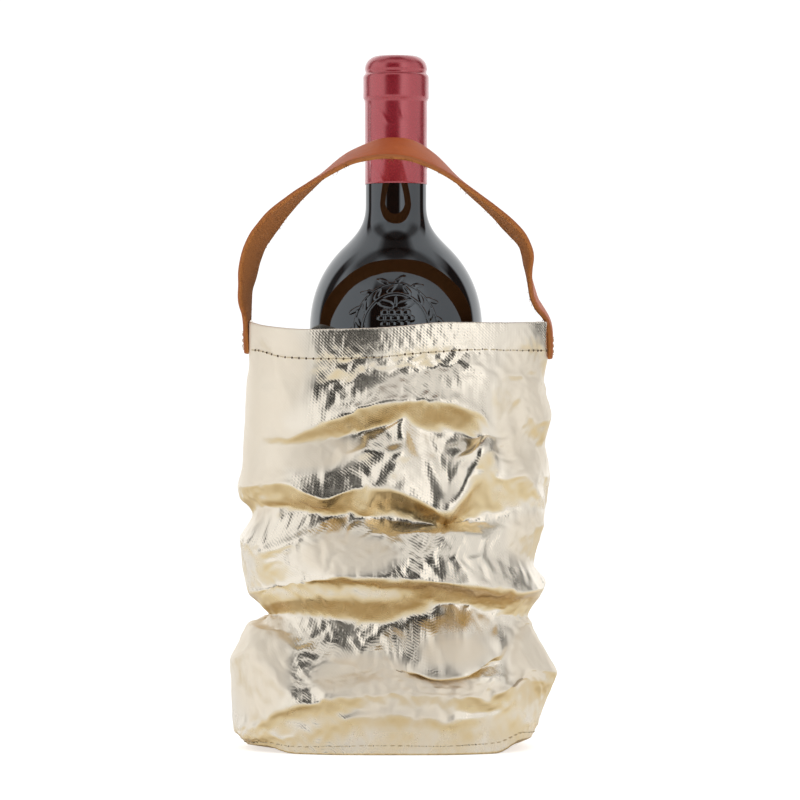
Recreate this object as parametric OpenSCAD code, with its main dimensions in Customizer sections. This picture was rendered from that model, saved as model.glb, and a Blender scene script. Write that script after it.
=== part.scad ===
// Wine gift bag: a soft foil-faced paper bag with a sewn leather handle, holding a corked bottle.
// +Z is up, the front is at -Y, and the origin is the centre of the bag's flat underside.

/* [Bag] */
// Width of the bag at its fullest
bag_w = 146; // [140:1:154]
// Depth of the bag from front to back at its fullest
bag_d = 100; // [96:1:110]
// Height of the rim above the table, as the bag stands slumped
bag_h = 191; // [185:1:200]
// Width of the open mouth
mouth_w = 133; // [131:0.1:136]
// Depth of the open mouth
mouth_d = 94; // [93:1:98]
// Thickness of one layer of the sheet
sheet_t = 0.8; // [0.6:0.1:1]
// Depth of the hem that is turned inside at the mouth
hem_h = 12.8; // [10:0.1:16]
// Length of one stitch
stitch_l = 2.6; // [2:0.1:3]
// Distance from one stitch to the next
stitch_pitch = 3.5; // [3.2:0.1:5]
// Thickness of the thread
thread_d = 0.5; // [0.4:0.05:0.6]

/* [Handle] */
// Width of the leather strap
strap_w = 22; // [18:1:23]
// Thickness of the leather strap
strap_t = 3; // [2.4:0.1:3.2]
// Height of the handle's arch above its pivots, measured with the arch leaning
arch_rise = 71; // [68:1:78]
// Forward lean of the arch from upright, as it rests
lean = 32; // [31:1:36]
// Height of the pivots, where the strap bends just above the rim
pivot_z = 196; // [194:1:198]
// How far in front of the bag's middle the strap is sewn
pivot_front = 6; // [5:1:8]
// How far the sewn ends of the strap reach below the pivots
tab_drop = 22; // [18:0.5:26]

/* [Bottle] */
// Height of the bottle with its capsule
bottle_h = 309.7; // [304:0.1:312]
// Diameter of the bottle's body
bottle_d = 78; // [75:1:79]
// Diameter of the glass neck
neck_d = 27.4; // [27:0.1:28]
// Diameter of the glass ring under the mouth
ring_d = 28.5; // [28.2:0.1:29]
// Bore of the bottle's mouth
bore_d = 18.5; // [18:0.1:19]
// Thickness of the glass in the body
glass_t = 4.2; // [3:0.1:5]
// How far behind the bag's middle the bottle stands
bottle_back = 3; // [2:0.5:3]
// Length of the cork
cork_l = 45; // [38:1:49]
// Height of the hollow punt under the bottle
punt_h = 32; // [16:1:36]

/* [Hidden] */

$fn = 64;
slit = 0.05;           // gap between layers that lie on each other
air = 0.3;             // gap between pieces that move apart
seam_h = 5;            // height of the upright seam band at the foot
lap_w = 12;            // width of the overlap down the back
ring_n = 48;           // corners in one ring of the bag's wall
squareness = 3;        // exponent of the bag's rounded-rectangle outline
foil_gold = [0.86, 0.80, 0.68];
thread_tan = [0.80, 0.70, 0.52];
leather_tan = [0.70, 0.36, 0.17];

// The bag's outline at a few heights: [height, part of the full width, part of the full depth].
// It is drawn in at the foot, fullest low down, and narrows slowly towards the mouth.
profile = [
    [0, 0.84, 0.86], [seam_h, 0.84, 0.86], [9, 0.95, 0.95], [16, 1, 1], [40, 1, 1],
    [62, 0.97, 0.99], [100, 0.95, 0.98], [140, 0.93, 0.96],
    [165, mouth_w / bag_w, mouth_d / bag_d],
    [bag_h - hem_h, mouth_w / bag_w, mouth_d / bag_d], [bag_h, mouth_w / bag_w, mouth_d / bag_d]
];
heights = [for (p = profile) p[0]];
widths = [for (p = profile) [p[0], p[1] * bag_w / 2]];
depths = [for (p = profile) [p[0], p[2] * bag_d / 2]];

// ---------------------------------------------------------------- outlines of the bag

function signed_pow(v, e) = sign(v) * pow(abs(v), e);

// Corner i of the bag's outline at height z, drawn in by inset
function wall_point(i, z, inset) =
    let (a = 360 * i / ring_n, e = 2 / squareness)
    [(lookup(z, widths) - inset) * signed_pow(cos(a), e),
     (lookup(z, depths) - inset) * signed_pow(sin(a), e), z];

function wall_ring(z, inset) = [for (i = [0 : ring_n - 1]) wall_point(i, z, inset)];

// The faces between n stacked closed rings of m points, the last ring joining the first
function torus_faces(n, m) = [
    for (k = [0 : n - 1], i = [0 : m - 1])
        let (a = k * m + i, b = k * m + (i + 1) % m,
             c = ((k + 1) % n) * m + i, d = ((k + 1) % n) * m + (i + 1) % m)
        each [[a, c, b], [b, c, d]]
];

// A closed sleeve of the bag's outline through the heights zs, from one inset to a deeper one
module sleeve(zs, outer, inner) {
    n = len(zs);
    up = [for (z = zs) each wall_ring(z, outer)];
    down = [for (k = [n - 1 : -1 : 0]) each wall_ring(zs[k], inner)];
    polyhedron(points = concat(up, down), faces = torus_faces(2 * n, ring_n));
}

// ---------------------------------------------------------------- the bag

module bag_wall() {
    color(foil_gold) sleeve(heights, 0, sheet_t);
}

module rim_hem() {
    color(foil_gold)
        sleeve([bag_h - hem_h, bag_h - slit], sheet_t + slit, 2 * sheet_t + slit);
}

module bag_base() {
    color(foil_gold)
        linear_extrude(1.2)
            polygon([for (p = wall_ring(0, sheet_t + slit)) [p[0], p[1]]]);
}

// A strip that follows the back of the wall at x from -half to half, standing off by off_a to off_b
module back_strip(zs, half, off_a, off_b) {
    n = len(zs);
    function edge(z, off) = lookup(z, depths) + off;
    pts = [
        for (z = zs)
            each [[-half, edge(z, off_a), z], [half, edge(z, off_a), z],
                  [half, edge(z, off_b), z], [-half, edge(z, off_b), z]]
    ];
    sides = [
        for (k = [0 : n - 2], i = [0 : 3])
            let (a = 4 * k + i, b = 4 * k + (i + 1) % 4)
            each [[a, a + 4, b], [b, a + 4, b + 4]]
    ];
    top = 4 * (n - 1);
    ends = [[0, 1, 2], [0, 2, 3], [top + 2, top + 1, top], [top + 3, top + 2, top]];
    polyhedron(points = pts, faces = concat(sides, ends));
}

module back_seam_lap() {
    zs = [for (z = heights) if (z > seam_h && z < bag_h) z];
    color(foil_gold) back_strip(zs, lap_w / 2, slit, slit + sheet_t);
}

// One straight stitch between two points on a surface
module stitch(a, b) {
    d = b - a;
    len_d = norm(d);
    translate((a + b) / 2)
        rotate([0, acos(d[2] / len_d), atan2(d[1], d[0])])
            cube([thread_d, thread_d, len_d], center = true);
}

// A row of stitches round the wall at height z; none lies within skip of the strap's middle
module stitch_ring(z, skip) {
    off = -(thread_d / 2 + slit);
    ring = wall_ring(z, off);
    for (i = [0 : ring_n - 1]) {
        a = ring[i];
        b = ring[(i + 1) % ring_n];
        side = norm(b - a);
        n = floor(side / stitch_pitch);
        if (n > 0)
            for (k = [0 : n - 1]) {
                mid = a + (b - a) * (k + 0.5) / n;
                half = (b - a) / side * stitch_l / 2;
                if (abs(mid[1] + pivot_front) > skip)
                    stitch(mid - half, mid + half);
            }
    }
}

module hem_stitching() {
    color(thread_tan) stitch_ring(bag_h - hem_h + 1, strap_w / 2 + stitch_l);
}

module base_stitching() {
    color(thread_tan) stitch_ring(seam_h - 1.6, 0);
}

module back_seam_stitching() {
    off = sheet_t + air + slit + thread_d / 2;
    x = lap_w / 2 - 2;
    color(thread_tan)
        for (z = [12 : stitch_pitch : bag_h - hem_h - 4])
            stitch([x, lookup(z, depths) + off, z],
                   [x, lookup(z + stitch_l, depths) + off, z + stitch_l]);
}

// ---------------------------------------------------------------- the handle

tab_in = mouth_w / 2 + slit;           // inner face of the sewn strap ends
pivot_x = tab_in + air + strap_t / 2;  // middle of the strap's thickness at the pivots

// One sewn end, on the bag's side, up to just under the round end of the arch
module strap_end(side) {
    x = side > 0 ? tab_in : -tab_in - strap_t;
    color(leather_tan)
        translate([x, -pivot_front - strap_w / 2, pivot_z - tab_drop])
            cube([strap_t, strap_w, tab_drop - strap_w / 2 - air]);
}

// A closed box of stitches on the sewn strap end, on its outer face
module strap_stitching(side) {
    x = side * (tab_in + strap_t + slit + thread_d / 2);
    y0 = -pivot_front - strap_w / 2 + 2.4;
    y1 = -pivot_front + strap_w / 2 - 2.4;
    low = pivot_z - tab_drop + 1.6;
    high = low + stitch_pitch;
    n = floor((y1 - y0) / stitch_pitch);
    step = (y1 - y0) / n;
    color(thread_tan) {
        for (k = [0 : n - 1]) {
            y = y0 + k * step + (step - stitch_l) / 2;
            stitch([x, y, low], [x, y + stitch_l, low]);
        }
        for (y = [y0, y1])
            stitch([x, y, low + 0.6], [x, y, high]);
    }
}

module strap_end_left() { strap_end(-1); }
module strap_end_right() { strap_end(1); }
module strap_stitching_left() { strap_stitching(-1); }
module strap_stitching_right() { strap_stitching(1); }

// Point and direction at t on the cubic curve through the four control points c
function bezier(c, t) =
    pow(1 - t, 3) * c[0] + 3 * t * pow(1 - t, 2) * c[1]
    + 3 * t * t * (1 - t) * c[2] + pow(t, 3) * c[3];
function bezier_way(c, t) =
    pow(1 - t, 2) * (c[1] - c[0]) + 2 * t * (1 - t) * (c[2] - c[1]) + t * t * (c[3] - c[2]);

// The middle line of half the arch in its own plane, from the pivot up to the top
arch_v = arch_rise / cos(lean);
arch_curve = [
    [pivot_x, 0], [pivot_x + 7.5, 0.62 * arch_v], [0.36 * pivot_x, arch_v], [0, arch_v]
];

// The half arch's edge, off to one side of the middle line
function arch_edge(off) = [
    for (k = [0 : 16])
        let (t = k / 16, w = bezier_way(arch_curve, t), u = w / norm(w))
        bezier(arch_curve, t) + off * [u[1], -u[0]]
];

module arch_outline() {
    outer = arch_edge(strap_t / 2);
    inner = arch_edge(-strap_t / 2);
    half = concat(outer, [for (k = [16 : -1 : 0]) inner[k]]);
    polygon(half);
    mirror([1, 0]) polygon(half);
}

module handle_strap() {
    color(leather_tan)
        translate([0, -pivot_front, pivot_z]) {
            rotate([90 + lean, 0, 0])
                linear_extrude(strap_w, center = true) arch_outline();
            for (side = [-1, 1])
                translate([side * pivot_x, 0, 0])
                    rotate([0, 90, 0])
                        cylinder(r = strap_w / 2, h = strap_t, center = true);
        }
}

// ---------------------------------------------------------------- the bottle

bottle_z = 1.2 + air;                 // underside of the bottle, just above the bag's base
bore_r = bore_d / 2;
neck_r = neck_d / 2;
ring_r = ring_d / 2;
body_r = bottle_d / 2;
foil_t = 0.3;
glass_h = bottle_h - foil_t - slit;   // height of the glass alone
shoulder_z = glass_h - 124;           // where the straight body ends
waist_z = glass_h - 87.5;             // where the shoulder turns into the neck's foot
neck_z = glass_h - 67;                // where the straight neck begins
ring_z = glass_h - 18;                // underside of the ring
capsule_l = 58;                       // length of the foil capsule
fill_z = 246;                         // level of the wine, just under the cork

// Points along a cubic curve, without its first point
function curve(c, n) = [for (k = [1 : n]) bezier(c, k / n)];

// A quarter round from (r, z) inwards and upwards
function quarter(r, z, round_r, n) =
    [for (k = [0 : n]) [r - round_r + round_r * cos(90 * k / n), z + round_r * sin(90 * k / n)]];

// Outer outline of the glass above the foot, bottom to top; off shifts it outwards
function glass_side(off) = concat(
    [[body_r + off, 6]],
    [[body_r + off, shoulder_z]],
    curve([[body_r + off, shoulder_z], [body_r + off, shoulder_z + 17],
           [0.85 * body_r + off, waist_z - 8.5], [0.645 * body_r + off, waist_z]], 10),
    curve([[0.645 * body_r + off, waist_z], [0.482 * body_r + off, waist_z + 6.4],
           [neck_r + off, neck_z - 10], [neck_r + off, neck_z]], 10),
    neck_side(off)
);

// Outer outline of the neck and the ring, up to the rounded lip
function neck_side(off) = concat(
    [[neck_r + off, ring_z - 1], [ring_r + off, ring_z + 0.6], [ring_r + off, ring_z + 8.6],
     [neck_r - 0.2 + off, ring_z + 10]],
    quarter(neck_r - 0.2 + off, glass_h - 4 + off, 4, 6)
);

// Hollow of the glass, from the middle of the punt up to the mouth; gap draws it in
function hollow_side(gap) = concat(
    [[0, punt_h + 5 + gap], [16, punt_h + 2.5 + gap], [27, 9 + gap]],
    [[body_r - glass_t - gap, 8 + gap], [body_r - glass_t - gap, shoulder_z]],
    curve([[body_r - glass_t - gap, shoulder_z], [body_r - glass_t - gap, shoulder_z + 15.5],
           [0.785 * body_r - gap, waist_z - 10.5], [0.587 * body_r - gap, waist_z - 2.5]], 10),
    curve([[0.587 * body_r - gap, waist_z - 2.5], [0.425 * body_r - gap, waist_z + 4],
           [bore_r + 0.6 - gap, neck_z - 12], [bore_r - gap, neck_z]], 10)
);

module bottle_glass() {
    foot = [for (k = [0 : 5]) [body_r - 6 + 6 * sin(18 * k), 6 - 6 * cos(18 * k)]];
    punt = [[0, punt_h], [12, punt_h - 2.5], [22, 9], [28, 0]];
    color([0.10, 0.06, 0.04])
        translate([0, bottle_back, bottle_z])
            rotate_extrude()
                difference() {
                    polygon(concat(punt, foot, glass_side(0), [[0, glass_h]]));
                    polygon(concat(hollow_side(0), [[bore_r, glass_h + 1], [0, glass_h + 1]]));
                }
}

module wine() {
    side = [for (p = hollow_side(slit)) if (p[1] <= neck_z) p];
    color([0.22, 0.02, 0.05])
        translate([0, bottle_back, bottle_z])
            rotate_extrude()
                polygon(concat(side, [[bore_r - slit, fill_z], [0, fill_z]]));
}

module cork() {
    top = glass_h - 1.5;
    color([0.76, 0.58, 0.38])
        translate([0, bottle_back, bottle_z + top - cork_l])
            cylinder(r = bore_r - slit, h = cork_l);
}

module capsule() {
    low = bottle_h - capsule_l;
    skin = foil_t + slit;
    outside = concat([[neck_r + skin, low]], neck_side(skin), [[0, glass_h + skin]]);
    inside = concat([[neck_r + slit, low - 1]], neck_side(slit), [[0, glass_h + slit]]);
    color([0.50, 0.08, 0.14])
        translate([0, bottle_back, bottle_z])
            rotate_extrude()
                difference() {
                    polygon(concat([[0, low]], outside));
                    polygon(concat([[0, low - 1]], inside));
                }
}

bag_wall();
rim_hem();
bag_base();
back_seam_lap();
hem_stitching();
base_stitching();
back_seam_stitching();
strap_end_left();
strap_end_right();
strap_stitching_left();
strap_stitching_right();
handle_strap();
bottle_glass();
wine();
cork();
capsule();
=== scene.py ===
"""Looks of the wine gift bag: a slumped foil bag with a sewn leather strap, round a corked bottle.

Shapes are worked out in millimetres in the CAD's frame, and new_object turns them into metres. The
front of the bag is at -Y.
"""

import math

import bpy
import numpy as np
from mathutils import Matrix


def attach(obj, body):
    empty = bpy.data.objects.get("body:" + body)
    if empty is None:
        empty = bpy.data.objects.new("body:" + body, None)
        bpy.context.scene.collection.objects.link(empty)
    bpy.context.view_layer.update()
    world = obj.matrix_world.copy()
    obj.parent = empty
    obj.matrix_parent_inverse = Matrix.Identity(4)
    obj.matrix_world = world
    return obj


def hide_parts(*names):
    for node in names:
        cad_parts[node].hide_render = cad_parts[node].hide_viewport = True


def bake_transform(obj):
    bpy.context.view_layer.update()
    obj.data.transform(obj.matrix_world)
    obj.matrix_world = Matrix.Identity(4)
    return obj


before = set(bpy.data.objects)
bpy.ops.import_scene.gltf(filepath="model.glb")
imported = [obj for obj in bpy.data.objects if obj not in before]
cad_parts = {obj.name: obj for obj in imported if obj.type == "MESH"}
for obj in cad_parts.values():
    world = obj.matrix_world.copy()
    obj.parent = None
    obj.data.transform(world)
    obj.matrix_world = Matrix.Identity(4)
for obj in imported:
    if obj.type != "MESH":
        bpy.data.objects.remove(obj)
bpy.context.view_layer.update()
MM = 0.001


# ---------- small helpers

def unit(v):
    return v / np.maximum(np.linalg.norm(v, axis=-1, keepdims=True), 1e-12)


def lengths_along(points):
    """How far along the line of points each of them is."""
    return np.r_[0, np.cumsum(np.linalg.norm(np.diff(points, axis=0), axis=1))]


def smooth_curve(keys, count):
    """count rows evenly along the smooth curve through the rows of keys (Catmull-Rom).
    The spacing is even along the first three columns, which are a place."""
    k = np.array(keys, float)
    k = np.vstack([2 * k[0] - k[1], k, 2 * k[-1] - k[-2]])
    fine = []
    for a, b, c, d in zip(k[:-3], k[1:-2], k[2:-1], k[3:]):
        t = np.linspace(0, 1, 24, endpoint=False)[:, None]
        fine.append(0.5 * (2 * b + (c - a) * t + (2 * a - 5 * b + 4 * c - d) * t**2
                           + (3 * b - a - 3 * c + d) * t**3))
    fine = np.vstack(fine + [k[-2:-1]])
    along = lengths_along(fine[:, :3])
    want = np.linspace(0, along[-1], count)
    return np.stack([np.interp(want, along, fine[:, j]) for j in range(fine.shape[1])], axis=1)


def new_object(name, points, faces, materials, face_material=None, smooth=True):
    """A mesh of the points, which are in millimetres in an array of any shape."""
    mesh = bpy.data.meshes.new(name)
    places = np.reshape(points, (-1, 3)) * MM
    mesh.from_pydata([tuple(p) for p in places], [], [tuple(f) for f in faces])
    for m in materials:
        mesh.materials.append(m)
    if face_material is not None:
        mesh.polygons.foreach_set("material_index", np.array(face_material, np.int32))
    mesh.polygons.foreach_set("use_smooth", np.full(len(mesh.polygons), smooth))
    mesh.update()
    obj = bpy.data.objects.new(name, mesh)
    bpy.context.scene.collection.objects.link(obj)
    return obj


def apply_modifiers(obj):
    """Bakes obj's modifiers into its mesh."""
    bpy.context.view_layer.update()
    evaluated = obj.evaluated_get(bpy.context.evaluated_depsgraph_get())
    mesh = bpy.data.meshes.new_from_object(evaluated)
    old = obj.data
    obj.modifiers.clear()
    obj.data = mesh
    mesh.name = obj.name
    bpy.data.meshes.remove(old)


def subdivide(obj):
    """Rounds obj off with one more point between each two."""
    mod = obj.modifiers.new("subdivide", "SUBSURF")
    mod.levels = 1
    apply_modifiers(obj)
    obj.data.polygons.foreach_set("use_smooth", np.ones(len(obj.data.polygons), bool))


def thicken(obj, thick_mm, inside=0):
    """Makes a solid of the sheet obj, inwards; its inner face has material number inside."""
    mod = obj.modifiers.new("thickness", "SOLIDIFY")
    mod.thickness = thick_mm * MM
    mod.offset = -1
    mod.material_offset = inside
    apply_modifiers(obj)


def set_vector(obj, name, values):
    """Stores a vector at each vertex, for the materials to read."""
    attribute = obj.data.attributes.new(name, "FLOAT_VECTOR", "POINT")
    attribute.data.foreach_set("vector", np.array(values, np.float32).ravel())


def lattice_noise(p, seed):
    """Smooth noise from -1 to 1 at points p, whose lattice is one unit wide."""
    table = np.random.default_rng(seed).uniform(-1, 1, 4096)
    i = np.floor(p).astype(int)
    f = p - i
    f = f * f * (3 - 2 * f)
    total = np.zeros(len(p))
    for corner in range(8):
        step = np.array([corner & 1, corner >> 1 & 1, corner >> 2 & 1])
        key = (i + step) @ np.array([73, 1571, 359]) % len(table)
        weight = np.prod(np.where(step, f, 1 - f), axis=1)
        total += weight * table[key]
    return total


# ---------- materials

class Nodes:
    """A short way to build a node tree: each call adds one node and returns its first output."""

    def __init__(self, tree, shader):
        self.tree, self.shader = tree, shader

    def node(self, kind, inputs=(), **settings):
        n = self.tree.nodes.new(kind)
        for key, value in settings.items():
            setattr(n, key, value)
        for key, value in dict(inputs).items():
            if isinstance(value, bpy.types.NodeSocket):
                self.tree.links.new(value, n.inputs[key])
            else:
                n.inputs[key].default_value = value
        return n

    def to(self, socket, output):
        """Links output to a socket of the shader."""
        self.tree.links.new(output, self.shader.inputs[socket])

    def place(self):
        return self.node("ShaderNodeTexCoord").outputs["Object"]

    def attribute(self, name):
        return self.node("ShaderNodeAttribute", attribute_name=name).outputs["Vector"]

    def math(self, op, a, b=0.0, c=0.0):
        return self.node("ShaderNodeMath", {0: a, 1: b, 2: c}, operation=op).outputs[0]

    def scaled(self, value, by, plus=0.0):
        return self.math("MULTIPLY_ADD", value, by, plus)

    def split(self, vector):
        return self.node("ShaderNodeSeparateXYZ", {0: vector}).outputs

    def noise(self, vector, scale, detail=3.0, rough=0.5):
        inputs = {"Vector": vector, "Scale": scale, "Detail": detail, "Roughness": rough}
        return self.node("ShaderNodeTexNoise", inputs).outputs["Fac"]

    def ramp(self, fac, stops):
        """A colour ramp; stops are (position, colour or grey)."""
        n = self.node("ShaderNodeValToRGB", {0: fac})
        while len(n.color_ramp.elements) < len(stops):
            n.color_ramp.elements.new(0.5)
        for e, (pos, col) in zip(n.color_ramp.elements, stops):
            e.position = pos
            e.color = (col, col, col, 1) if isinstance(col, (int, float)) else (*col, 1)
        return n.outputs["Color"]

    def mix(self, fac, a, b):
        n = self.node("ShaderNodeMix", data_type="RGBA")
        for key, value in ((0, fac), (6, a), (7, b)):
            if isinstance(value, bpy.types.NodeSocket):
                self.tree.links.new(value, n.inputs[key])
            else:
                n.inputs[key].default_value = value if key == 0 else (*value, 1)
        return n.outputs[2]

    def bump(self, height, strength, distance, normal=None):
        inputs = {"Height": height, "Strength": strength, "Distance": distance}
        if normal is not None:
            inputs["Normal"] = normal
        return self.node("ShaderNodeBump", inputs).outputs["Normal"]

    def tone(self, noise, low, high):
        """Lets the base colour wander between low and high with the noise, which it returns."""
        self.to("Base Color", self.mix(noise, low, high))
        return noise


def material(name, **principled):
    """A new material with a Principled shader, and the tool to build its nodes."""
    mat = bpy.data.materials.new(name)
    mat.use_nodes = True
    shader = mat.node_tree.nodes["Principled BSDF"]
    for key, value in principled.items():
        socket = shader.inputs[key.replace("_", " ")]
        socket.default_value = (*value, 1) if isinstance(value, tuple) else value
    return mat, Nodes(mat.node_tree, shader)


TWILL_RIB_MM = 1.05       # distance from rib to rib
TWILL_FLOAT_MM = 1.9      # and between the breaks along a rib


def twill_height(n, sheet):
    """The woven ground that shows through the foil: raised diagonal ribs, broken into short floats.
    sheet is the place on the flat sheet in millimetres."""
    x, y, _ = n.split(sheet)
    diagonal = n.scaled(x, 0.70, n.scaled(y, 0.71))
    across = n.scaled(x, 0.90, n.scaled(y, -0.43))
    rib = n.math("SINE", n.scaled(diagonal, 2 * math.pi / TWILL_RIB_MM))
    staggered = n.scaled(diagonal, 0.5, across)
    breaks = n.math("SINE", n.scaled(staggered, 2 * math.pi / TWILL_FLOAT_MM))
    return n.scaled(rib, 0.5, n.scaled(breaks, 0.32))


# The foil itself is pale; the gold and the deep gold are a painted reflection, put on faces that look down
FOIL_PALE = (0.89, 0.82, 0.705)
FOIL_RUBBED_AND_PAINTED_SHEEN = (0.98, 0.90, 0.77)      # rubbed, and where it faces up a painted sheen
FOIL_PAINTED_REFLECTION_GOLD = (0.82, 0.67, 0.41)
FOIL_PAINTED_REFLECTION_DEEP = (0.53, 0.36, 0.15)


def foil_material():
    """Metal foil on twill. Faces that look down are painted yellower, a painted reflection of the floor
    and of the foil's own folds, and the rubbed places are dull and smooth, with a painted paler sheen
    where they face up."""
    mat, n = material("champagne_foil", Metallic=1.0, Roughness=0.25)
    sheet = n.attribute("sheet_mm")
    wear = n.noise(sheet, 0.045, 4.0, 0.55)
    fine = n.noise(sheet, 0.6, 3.0, 0.6)
    _, _, up = n.split(n.node("ShaderNodeNewGeometry").outputs["Normal"])
    # 0 where the foil faces straight down and 1 where it faces straight up, unevenly; the ramp paints the
    # foil gold where it faces down, a painted reflection
    facing = n.scaled(n.scaled(wear, 0.8, n.math("SUBTRACT", up, 0.4)), 0.5, 0.5)
    colour = n.ramp(facing, [(0.06, FOIL_PAINTED_REFLECTION_DEEP), (0.29, FOIL_PAINTED_REFLECTION_GOLD), (0.485, FOIL_PALE), (1.0, FOIL_PALE)])
    matte_and_sheen, _, _ = n.split(n.attribute("matte_and_sheen"))
    upward = n.ramp(facing, [(0.40, 0.0), (0.50, 1.0)])
    # rubbed places that face up are painted paler still: a painted sheen
    n.to("Base Color", n.mix(n.math("MULTIPLY", matte_and_sheen, upward), colour, FOIL_RUBBED_AND_PAINTED_SHEEN))
    n.to("Roughness", n.scaled(wear, 0.24, n.scaled(fine, 0.08, n.scaled(matte_and_sheen, 0.34, 0.10))))
    calm = n.scaled(matte_and_sheen, -0.7, 1.0)
    dents = n.bump(n.noise(sheet, 0.13, 3.0, 0.5), n.scaled(calm, 0.24), 0.0010)
    weave = n.bump(twill_height(n, sheet), n.scaled(calm, 0.5), 0.000058, dents)
    n.to("Normal", n.bump(n.noise(sheet, 1.1, 2.0, 0.6), 0.22, 0.00010, weave))
    return mat


def lining_material():
    mat, n = material("bag_lining", Roughness=0.85)
    sheet = n.attribute("sheet_mm")
    n.tone(n.noise(sheet, 0.3, 4.0, 0.6), (0.52, 0.40, 0.27), (0.66, 0.54, 0.40))
    n.to("Normal", n.bump(twill_height(n, sheet), 0.5, 0.0002))
    return mat


def thread_material():
    mat, n = material("thread", Roughness=0.6)
    twist = n.tone(n.noise(n.place(), 2500.0, 2.0, 0.6), (0.58, 0.46, 0.28), (0.80, 0.70, 0.50))
    n.to("Normal", n.bump(twist, 0.4, 0.0001))
    return mat


def needle_hole_material():
    mat, n = material("needle_hole", Roughness=0.9)
    # the hole is painted near-black brown: painted shade inside the pricked hole
    n.tone(n.noise(n.place(), 900.0, 2.0, 0.5), (0.05, 0.025, 0.01), (0.14, 0.08, 0.03))
    return mat


def leather_materials():
    """Smooth outer face, suede inner face and fibrous cut edge of the strap."""
    outer, n = material("leather_smooth", Roughness=0.45, Specular_IOR_Level=0.12)
    strap = n.attribute("strap_mm")
    cloud = n.noise(strap, 0.06, 5.0, 0.6)
    pores = n.noise(strap, 2.4, 3.0, 0.6)
    streak = n.noise(strap, 0.35, 4.0, 0.65)
    colour = n.mix(n.ramp(cloud, [(0.3, 0.0), (0.72, 1.0)]), (0.48, 0.088, 0.012), (0.62, 0.135, 0.020))
    n.tone(n.ramp(streak, [(0.60, 0.0), (0.8, 0.4)]), colour, (0.66, 0.21, 0.08))
    n.to("Roughness", n.scaled(pores, 0.25, 0.30))
    n.to("Normal", n.bump(streak, 0.25, 0.0005, n.bump(pores, 0.35, 0.00018)))

    inner, n = material("leather_suede", Roughness=0.95)
    strap = n.attribute("strap_mm")
    nap = n.noise(strap, 1.5, 5.0, 0.75)
    cloud = n.noise(strap, 0.12, 3.0, 0.5)
    colour = n.mix(n.ramp(nap, [(0.34, 0.0), (0.68, 1.0)]), (0.30, 0.09, 0.018), (0.68, 0.27, 0.07))
    n.tone(n.scaled(cloud, 0.5), colour, (0.50, 0.18, 0.045))
    n.to("Normal", n.bump(nap, 0.8, 0.0005))

    edge, n = material("leather_edge", Roughness=0.9)
    strap = n.attribute("strap_mm")
    nap = n.noise(strap, 2.0, 4.0, 0.8)
    colour = n.mix(n.ramp(nap, [(0.3, 0.0), (0.7, 1.0)]), (0.38, 0.115, 0.022), (0.66, 0.26, 0.065))
    # the grain layer shows as a redder line along the outer side of the cut
    _, _, depth = n.split(strap)
    n.tone(n.ramp(depth, [(0.0, 0.0), (0.9, 0.8)]), colour, (0.47, 0.15, 0.055))
    n.to("Normal", n.bump(nap, 0.7, 0.0004))
    return [outer, inner, edge]


def glass_material():
    mat, n = material("dark_glass", Roughness=0.04, IOR=1.95, Specular_Tint=(0.82, 0.92, 1.0))
    place = n.place()
    n.tone(n.noise(place, 18.0, 3.0, 0.5), (0.006, 0.0024, 0.0012), (0.013, 0.005, 0.0024))
    n.to("Normal", n.bump(n.noise(place, 55.0, 2.0, 0.5), 0.04, 0.0006))
    return mat


def capsule_material():
    mat, n = material("capsule_foil", Metallic=0.4, Roughness=0.3, Coat_Weight=1.0,
                      Coat_Roughness=0.24, Coat_IOR=1.75)
    place = n.place()
    n.tone(n.noise(place, 60.0, 4.0, 0.6), (0.40, 0.012, 0.028), (0.50, 0.020, 0.042))
    fine = n.noise(place, 900.0, 3.0, 0.6)
    n.to("Roughness", n.scaled(fine, 0.14, 0.20))
    ripple = n.bump(n.noise(place, 130.0, 3.0, 0.55), 0.16, 0.0012)
    n.to("Normal", n.bump(fine, 0.10, 0.0002, ripple))
    return mat


def plain_material(name, low, high, scale, rough):
    """A material whose colour wanders from low to high, for what is hardly seen."""
    mat, n = material(name, Roughness=rough)
    tone = n.tone(n.noise(n.place(), scale, 5.0, 0.6), low, high)
    n.to("Normal", n.bump(tone, 0.3, 0.0004))
    return mat


# ---------- camera, light and floor

def build_camera():
    scene = bpy.context.scene
    data = bpy.data.cameras.new("camera")
    camera = bpy.data.objects.new("camera", data)
    scene.collection.objects.link(camera)
    camera.location = (0.0018, -1.8, 0.156)
    camera.rotation_euler = (math.radians(90), 0, 0)
    data.sensor_width = 36
    data.lens = 179.8
    data.clip_start = 0.05
    scene.camera = camera


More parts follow.
